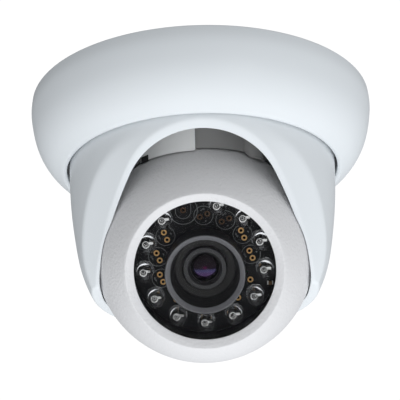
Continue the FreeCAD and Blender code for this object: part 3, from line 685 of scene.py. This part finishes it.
def build_rear_shell():
    skin = arc(BALL_R, BALL_REAR, -6.05, 40)
    profile = [(4.5, -35.6, 0.2), (6.5, -35.6, 0.3), (6.5, BALL_REAR, 0.15), (skin[0][0], BALL_REAR, 0.4)]
    profile += skin[1:] + [(33.7, -6.05, 0.1), (33.6, -6.9), (32.62, -6.9), (32.55, -6.05, 0.1)]
    profile += arc(BALL_IN_R, -28.8, -6.3, 20)[::-1] + [(4.5, -28.8, 0.2)]
    o = turned("eyeball_rear", rounded(profile), IN_BALL, "eyeball", "ball_paint", "eyeball_rear_shell",
               sharp=30)
    spots = [math.radians(60 + 360 / SHELL_SCREWS * k) for k in range(SHELL_SCREWS)]
    drill(o, "ball_paint", [(IN_BALL, SCREW_CIRCLE_R * math.cos(a), SCREW_CIRCLE_R * math.sin(a),
                             BALL_REAR, SCREW_SINK_END, SCREW_SINK_R) for a in spots])


def build_window():
    profile = [(0, 21.62), (22.35, 21.62, 0.1), (22.35, 23.1, 0.15), (0, 23.1)]
    turned("front_window_pane", rounded(profile, closed=False), IN_BALL, "eyeball", "clear_acrylic",
           "front_window", closed=False)


def build_shroud():
    profile = [(22.9, 10.6, 0.1), (23.9, 10.6, 0.1), (23.9, 21.55, 0.1), (22.9, 21.55, 0.2)]
    turned("light_shroud_sleeve", rounded(profile), IN_BALL, "eyeball", "black_plastic", "light_shroud")


# ---------------------------------------------------------------- lens cup and lens

CUP_PROFILE = [(7.1, 11.45), (9.3, 11.4), (9.3, 10.55), (12.3, 10.55, 0.2), (12.35, 14.5), (12.45, 17.5),
               (12.5, 21.05, 0.25), (12.1, 21.3, 0.12), (10.8, 20.1, 0.12), (9.75, 13.4, 0.3),
               (9.2, 12.6, 0.3), (7.1, 12.1, 0.1)]
CUP_BEVEL_Z = 20.0
CUP_SIDE_R = 12.4
CUP_FLOOR_R = 9.2
CUP_FLOOR_Z = 12.0
BARREL_PROFILE = [(4.3, -0.95, 0.1), (5.95, -0.95, 0.2), (5.95, 8.2), (6.85, 8.25, 0.15), (6.85, 13.4, 0.1),
                  (6.6, 13.6, 0.1), (5.35, 13.6, 0.1), (4.9, 12.6, 0.1), (4.55, 12.3), (4.5, 9.2),
                  (3.6, 9.2), (3.6, 1.2), (4.3, 1.2)]
FRONT_LENS_EDGE = [(0, 9.3), (4.42, 9.3), (4.42, 11.3)]
FRONT_LENS_RINGS = (4.2, 3.4, 2.6, 1.8, 1.0, 0.4)
FRONT_LENS_R = 11.0


def build_lens_cup():
    def pick(a, b):
        """Index of the material between two profile points: sides, bevelled rim or floor."""
        if a[1] > CUP_BEVEL_Z and b[1] > CUP_BEVEL_Z and a[0] < CUP_SIDE_R:
            return 1
        if a[0] < CUP_FLOOR_R and b[0] < CUP_FLOOR_R and a[1] > CUP_FLOOR_Z:
            return 2
        return 0
    turned("lens_cup_baffle", rounded(CUP_PROFILE), IN_LENS, "eyeball", "black_plastic", "lens_cup",
           mats=["black_plastic", "cup_bevel", "cup_floor"], pick=pick)


def build_lens():
    turned("lens_barrel_body", rounded(BARREL_PROFILE), IN_LENS, "lens", "lens_black", "lens_barrel")
    crown = [(r, LENS_CROWN - (FRONT_LENS_R - math.sqrt(FRONT_LENS_R ** 2 - r * r)))
             for r in FRONT_LENS_RINGS]
    turned("front_lens", FRONT_LENS_EDGE + crown + [(0, LENS_CROWN)], IN_LENS, "lens", "optical_glass",
           "lens_front_element", closed=False, mats=["coated_glass_painted_sheen"])


# ---------------------------------------------------------------- lamp board

LED_CIRCLE_R = 18.9
LED_PLACES = 13
EMPTY_PLACE = 7
BOARD_FRONT = 10.5
SPARE_R = 14.6
SPARE_MISSING = 1
SPARE_LEAN = math.radians(22)
SPARE_TOP_Y = 10
PITCH = 2.54
# pads higher than this take the darkened gold that paints their shade
SHADED_PAD_Y = 12
SENSOR_FOOTPRINT = (-6.3, 16.4)
LENS_Y = -1.75
CUP_CLEAR_R = 13.4

# one lamp, from its centre: resin body and dome, reflector cup, then corners of the lead blocks and chip
LAMP_SEGMENTS = 48
LAMP_BODY = [(0, 10.56), (2.85, 10.56), (2.95, 10.66), (2.95, 11.35), (2.85, 11.47), (2.56, 11.5),
             (2.5, 11.62)]
LAMP_R = 2.5
LAMP_DOME_Z = 16.6
LAMP_TOP = (0, 19.1)
LAMP_CUP = [(0, 12.2), (0.3, 12.2), (0.3, 14.4), (0.5, 15.1), (0.55, 15.3), (0.46, 15.32), (0.22, 15.05),
            (0, 15.03)]
LAMP_CUP_X, LAMP_CUP_Y = -0.2, -0.1
LAMP_POST = ((0.5, -0.1, 12.2), (0.85, 0.2, 14.8))
LAMP_ARM = ((0.2, -0.1, 14.8), (0.85, 0.3, 15.25))
LAMP_CHIP = ((-0.32, -0.22, 15.04), (-0.08, 0.02, 15.2))
BLOCK_CORNER = 0.16

# printed ink on the board
INK_LOW = BOARD_FRONT + 0.004
INK_HIGH = BOARD_FRONT + 0.03
LAMP_RING_R = 2.98
TICK_AT = 1.85
DOT_AT = (1.9, 0.8)
DOT_R = 0.25
SENSOR_RING_R = 4.45
SENSOR_BEND_R = 2.4


def led_places():
    angles = [math.radians(270 + 360 * i / LED_PLACES) for i in range(LED_PLACES) if i != EMPTY_PLACE]
    return [(LED_CIRCLE_R * math.cos(a), LED_CIRCLE_R * math.sin(a)) for a in angles]


def pad_pairs():
    """Centre and direction of each unfitted lamp's two holes."""
    pairs = []
    for i in range(LED_PLACES):
        if i == SPARE_MISSING:
            continue
        a = math.radians(90 + 360 * i / LED_PLACES)
        x, y = SPARE_R * math.cos(a), SPARE_R * math.sin(a)
        u = (-math.sin(SPARE_LEAN), math.cos(SPARE_LEAN))
        if y > SPARE_TOP_Y:
            u = (math.cos(SPARE_LEAN), math.sin(SPARE_LEAN))
        pairs.append((x, y, u))
    return pairs


def slab(low, high, x=0.0, y=0.0):
    """A small block between two corners about a place on the board, its upright edges cut off."""
    x0, y0, z0 = low[0] + x, low[1] + y, low[2]
    x1, y1, z1 = high[0] + x, high[1] + y, high[2]
    c = min(x1 - x0, y1 - y0) * BLOCK_CORNER
    outline = [(x0 + c, y0), (x1 - c, y0), (x1, y0 + c), (x1, y1 - c), (x1 - c, y1), (x0 + c, y1),
               (x0, y1 - c), (x0, y0 + c)]
    verts = [IN_BALL @ Vector((px, py, z)) for z in (z0, z1) for px, py in outline]
    n = len(outline)
    faces = [tuple(range(n)), tuple(range(n, 2 * n))]
    faces += [(k, (k + 1) % n, n + (k + 1) % n, n + k) for k in range(n)]
    return verts, faces, [0] * len(faces)


def build_leds():
    domes, frames, chips = [], [], []
    cap = [(LAMP_R * math.cos(t), LAMP_DOME_Z + LAMP_R * math.sin(t))
           for t in np.linspace(0.0, math.pi / 2 - 0.03, 14)]
    for x, y in led_places():
        domes.append(lathe_data(LAMP_BODY + cap + [LAMP_TOP], IN_BALL, LAMP_SEGMENTS, False, (x, y)))
        frames.append(lathe_data(LAMP_CUP, IN_BALL, 20, False, (x + LAMP_CUP_X, y + LAMP_CUP_Y)))
        frames += [slab(*LAMP_POST, x, y), slab(*LAMP_ARM, x, y)]
        chips.append(slab(*LAMP_CHIP, x, y))
    o = make_object("ir_lamp_domes", *merge(domes)[:2], ["led_resin"])
    place(o, "eyeball", "led_resin", "ir_leds")
    o.visible_diffuse = False
    o = make_object("ir_lamp_lead_frames", *merge(frames)[:2], ["chrome"], sharp=25)
    place(o, "eyeball", "steel")
    o = make_object("ir_lamp_chips", *merge(chips)[:2], ["black_plastic"], sharp=25)
    place(o, "eyeball", "black_plastic")


def ink_line(points, width):
    """Raised ink stroke along a chain of board points."""
    p = np.array(points, float)
    d = np.gradient(p, axis=0)
    d /= np.linalg.norm(d, axis=1, keepdims=True)
    side = np.stack([-d[:, 1], d[:, 0]], 1) * width / 2
    section = ((1, INK_LOW), (1, INK_HIGH), (-1, INK_HIGH), (-1, INK_LOW))
    verts = [IN_BALL @ Vector((q[0] + s * w[0], q[1] + s * w[1], z))
             for q, w in zip(p, side) for s, z in section]
    last = 4 * len(p) - 4
    faces = grid_faces(len(p), 4) + [(0, 1, 2, 3), (last, last + 1, last + 2, last + 3)]
    return verts, faces, [0] * len(faces)


def ink_circle(x, y, r, width):
    inner, outer = r - width / 2, r + width / 2
    ring = [(inner, INK_LOW), (inner, INK_HIGH), (outer, INK_HIGH), (outer, INK_LOW)]
    return lathe_data(ring, IN_BALL, 48, True, (x, y))


def clear_of_cup(x, y):
    return math.hypot(x, y - LENS_Y) > CUP_CLEAR_R


def pad_ring(x, y):
    z = BOARD_FRONT
    ring = [(0.5, z - 0.2), (0.5, z + 0.05), (0.56, z + 0.1), (0.78, z + 0.1), (0.93, z)]
    return lathe_data(ring, IN_BALL, 28, True, (x, y))


def hole_shade_disc(x, y):
    """Black disc deep in an empty lead hole that paints the shade inside it."""
    z = BOARD_FRONT
    disc = [(0, z - 0.1), (0.52, z - 0.1), (0.52, z - 0.3), (0, z - 0.3)]
    return lathe_data(disc, IN_BALL, 20, True, (x, y))


def pair_print(x, y, u):
    """Ring, two crosses and a dot printed round one pair of holes that runs along u."""
    v = (u[1], -u[0])
    ink = [ink_circle(x, y, LAMP_RING_R, 0.13)]
    for side in (-1, 1):
        cx, cy = x + side * v[0] * TICK_AT, y + side * v[1] * TICK_AT
        ink.append(ink_line([(cx - 0.35 * u[0], cy - 0.35 * u[1]),
                             (cx + 0.35 * u[0], cy + 0.35 * u[1])], 0.12))
        ink.append(ink_line([(cx - 0.3 * v[0], cy + 0.3 * v[1]),
                             (cx + 0.3 * v[0], cy + 0.3 * v[1])], 0.12))
    across, along = DOT_AT
    ink.append(ink_circle(x - v[0] * across + u[0] * along, y - v[1] * across + u[1] * along, DOT_R, 0.1))
    return ink


def sensor_print(x, y):
    """Ring and open bend printed round the single hole of the empty lamp place."""
    r = SENSOR_BEND_R
    bend = [(x + r * math.cos(t), y - 0.3 + r * math.sin(t)) for t in np.linspace(math.pi, 2 * math.pi, 20)]
    return [ink_circle(x, y, SENSOR_RING_R, 0.16),
            ink_line([(x - r, y + 2.2)] + bend + [(x + r, y + 2.2)], 0.14)]


def build_pads():
    rings, in_shade, ink, shade_discs = [], [], [], []
    for x, y, u in pad_pairs():
        holes = [(x + s * u[0] * PITCH / 2, y + s * u[1] * PITCH / 2) for s in (-1, 1)]
        shown = [h for h in holes if clear_of_cup(*h)]
        # pads above this height get the darkened gold: painted shade under the bezel and shroud
        (in_shade if y > SHADED_PAD_Y else rings).extend(pad_ring(*h) for h in shown)
        shade_discs += [hole_shade_disc(*h) for h in shown]
        if len(shown) == 2:
            ink += pair_print(x, y, u)
    # the empty lamp place's pad sits high too and gets the same painted shade
    in_shade.append(pad_ring(*SENSOR_FOOTPRINT))
    shade_discs.append(hole_shade_disc(*SENSOR_FOOTPRINT))
    ink += sensor_print(*SENSOR_FOOTPRINT)
    o = make_object("gold_lead_pads", *merge(rings)[:2], ["gold_pads"])
    place(o, "eyeball", "gold_pads", "led_lead_pads")
    o = make_object("shaded_lead_pads", *merge(in_shade)[:2], ["dull_pads"])
    place(o, "eyeball", "gold_pads")
    o = make_object("lead_hole_shade_discs", *merge(shade_discs)[:2], ["hole_black"])
    place(o, "eyeball", "board_black")
    o = make_object("board_print", *merge(ink)[:2], ["silk"])
    place(o, "eyeball", "connector_white")


def build_light_sensor():
    """Two-terminal light sensor near the right edge of the lamp board."""
    z = BOARD_FRONT
    body = slab((19.7, -8.1, z), (20.9, -6.8, z + 0.85))
    ends = [slab((19.4, -8.0, z), (19.75, -6.9, z + 0.6)), slab((20.85, -8.0, z), (21.2, -6.9, z + 0.6))]
    o = make_object("light_sensor_body", *body[:2], ["sensor_amber"], sharp=25)
    place(o, "eyeball", "black_plastic", "light_sensor")
    o = make_object("light_sensor_ends", *merge(ends)[:2], ["steel"], sharp=25)
    place(o, "eyeball", "steel")


# ---------------------------------------------------------------- slack cable loop from behind the eyeball

CABLE_R = 1.5
CABLE_TOP = (0.0, 0.0, -13.0)
CABLE_EXIT = 36.0
CABLE_POLES = [(32.2, -29.3), (34.3, -24.9), (28.8, -16.5), (20.0, -17.4), (11.5, -17.35), (6.0, -16.2),
               (0.2, -15.9)]
CABLE_RINGS = 90
CABLE_SEGMENTS = 20


def smooth_path(poles, steps):
    """Points and directions along a clamped cubic through its control points."""
    n = len(poles)
    knots = [0.0] * 4 + [float(k) for k in range(1, n - 3)] + [float(n - 3)] * 4
    points = []
    for t in np.linspace(0, n - 3 - 1e-9, steps):
        k = min(int(t) + 3, n - 1)
        d = [np.array(poles[j + k - 3], float) for j in range(4)]
        for r in range(1, 4):
            for j in range(3, r - 1, -1):
                low = knots[j + k - 3]
                a = (t - low) / (knots[j + 1 + k - r] - low)
                d[j] = (1 - a) * d[j - 1] + a * d[j]
        points.append(d[3])
    points = np.array(points)
    along = np.gradient(points, axis=0)
    return points, along / np.linalg.norm(along, axis=1, keepdims=True)


def build_cable_loop():
    start = BALL / MM - AXIS * CABLE_EXIT
    poles = [tuple(start)] + [(0.0, y, z) for y, z in CABLE_POLES] + [CABLE_TOP]
    side = np.array((1.0, 0.0, 0.0))
    n = CABLE_SEGMENTS
    verts = []
    for q, d in zip(*smooth_path(poles, CABLE_RINGS)):
        across = np.cross(d, side)
        for k in range(n):
            a = 2 * math.pi * k / n
            verts.append(Vector(q + CABLE_R * (math.cos(a) * side + math.sin(a) * across)) * MM)
    faces = grid_faces(CABLE_RINGS, n) + [tuple(range(n)), tuple(range(len(verts) - n, len(verts)))]
    o = make_object("cable_slack_loop", verts, faces, ["cable_sheath"])
    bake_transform(o)
    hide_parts("cable_loop")


# ---------------------------------------------------------------- the rest keeps its CAD shape

CAD_SHARP = 30


def dress_cad_nodes():
    slots = {s["node"]: s["material_slot"] for s in frame["record"]["subparts"]}
    for name, o in frame["nodes"].items():
        o.data.materials.clear()
        o.data.materials.append(MATS[slots[name]])
        for p in o.data.polygons:
            p.use_smooth = True
        o.data.set_sharp_from_angle(angle=math.radians(CAD_SHARP))


# ---------------------------------------------------------------- camera, light, stage

SKY_COLOR = (0.95, 0.975, 1.0, 1)
SKY_BASE = 0.19
# soft glows of the sky: direction and strength
SKY_GLOWS = [((0, 0, -1), 1.10), ((0, -0.707, -0.707), 0.31), ((1, 0, 0), 0.33)]
SEEN_WHITE = 1.05
BACKDROP_HALF = 8.0
BACKDROP_Z = -3.0
BACKDROP_COLOR = (0.9, 0.9, 0.9, 1)
LIGHT_TARGET = (0, 0, -0.05)
# soft lamps: name, place, diameter, power
LAMPS = [("under_soft", (0.15, -0.45, -0.6), 0.5, 0.12), ("front_soft", (0.4, -0.75, -0.1), 0.2, 0.2)]

CAMERA_TARGET = (0, 0, -0.045)
CAMERA_DISTANCE = 0.7
CAMERA_BELOW = math.radians(22.889)
CAMERA_ROLL = math.radians(-1.556)
SENSOR_WIDTH = 36.0
FRAME_WIDTH = 400.0
# focal length and the target's offset from the middle, in the units of FRAME_WIDTH
FOCAL = 2198.9
SHIFT_X = 3.9
SHIFT_Y = 31.0


def area(name, loc, size, power):
    lamp = bpy.data.lights.new(name, "AREA")
    lamp.shape = "DISK"
    lamp.size = size
    lamp.energy = power
    o = bpy.data.objects.new(name, lamp)
    o.location = loc
    o.rotation_euler = (Vector(LIGHT_TARGET) - Vector(loc)).to_track_quat("-Z", "Y").to_euler()
    bpy.context.scene.collection.objects.link(o)


def build_world():
    """White to the camera; for lighting, a soft sky that is brighter below and on the right."""
    world = bpy.data.worlds.new("studio")
    bpy.context.scene.world = world
    world.use_nodes = True
    nt = world.node_tree
    nt.nodes.clear()
    out = add_node(nt, "OutputWorld")
    mix = add_node(nt, "MixShader")
    seen = add_node(nt, "Background", {"Color": (1, 1, 1, 1), "Strength": SEEN_WHITE})
    glow = add_node(nt, "Background", {"Color": SKY_COLOR})
    coord = add_node(nt, "TexCoord")
    strength = add_node(nt, "Value")
    strength.outputs[0].default_value = SKY_BASE
    for direction, level in SKY_GLOWS:
        facing = add_node(nt, "VectorMath", {1: [level * c for c in direction]}, "DOT_PRODUCT")
        link(nt, coord.outputs["Generated"], facing.inputs[0])
        lit = add_node(nt, "Math", {1: 0.0}, "MAXIMUM")
        link(nt, facing.outputs["Value"], lit.inputs[0])
        total = add_node(nt, "Math", operation="ADD")
        link(nt, strength.outputs[0], total.inputs[0])
        link(nt, lit.outputs[0], total.inputs[1])
        strength = total
    link(nt, strength.outputs[0], glow.inputs["Strength"])
    path = add_node(nt, "LightPath")
    link(nt, path.outputs["Is Camera Ray"], mix.inputs[0])
    link(nt, glow.outputs[0], mix.inputs[1])
    link(nt, seen.outputs[0], mix.inputs[2])
    link(nt, mix.outputs[0], out.inputs[0])


def build_stage():
    me = bpy.data.meshes.new("backdrop")
    s, low = BACKDROP_HALF, BACKDROP_Z
    me.from_pydata([(-s, -s, low), (s, -s, low), (s, s, low), (-s, s, low)], [], [(0, 1, 2, 3)])
    floor = bpy.data.objects.new("backdrop", me)
    m, _, bsdf = new_material("pale_backdrop")
    bsdf.inputs["Base Color"].default_value = BACKDROP_COLOR
    bsdf.inputs["Emission Color"].default_value = (1, 1, 1, 1)
    bsdf.inputs["Emission Strength"].default_value = 1.0
    me.materials.append(m)
    floor.visible_diffuse = False
    floor.visible_glossy = False
    floor.visible_transmission = False
    floor.visible_shadow = False
    bpy.context.scene.collection.objects.link(floor)
    for name, loc, size, power in LAMPS:
        area(name, loc, size, power)


def build_camera():
    cam = bpy.data.cameras.new("camera")
    cam.sensor_width = SENSOR_WIDTH
    cam.lens = FOCAL * SENSOR_WIDTH / FRAME_WIDTH
    o = bpy.data.objects.new("camera", cam)
    bpy.context.scene.collection.objects.link(o)
    fwd = Vector((0, math.cos(CAMERA_BELOW), math.sin(CAMERA_BELOW)))
    right = Vector((1, 0, 0))
    up = right.cross(fwd)
    r2 = right * math.cos(CAMERA_ROLL) + up * math.sin(CAMERA_ROLL)
    u2 = -right * math.sin(CAMERA_ROLL) + up * math.cos(CAMERA_ROLL)
    look = (fwd - r2 * (SHIFT_X / FOCAL) + u2 * (SHIFT_Y / FOCAL)).normalized()
    x = look.cross(u2).normalized()
    y = x.cross(look)
    m = Matrix((x, y, -look)).transposed().to_4x4()
    o.matrix_world = Matrix.Translation(Vector(CAMERA_TARGET) - fwd * CAMERA_DISTANCE) @ m
    bpy.context.scene.camera = o


dress_cad_nodes()
build_flange_cover()
build_turret()
build_front_shell()
build_rear_shell()
build_window()
build_shroud()
build_lens_cup()
build_lens()
build_leds()
build_pads()
build_light_sensor()
build_cable_loop()
build_world()
build_stage()
build_camera()
bpy.context.scene.view_settings.view_transform = "Standard"
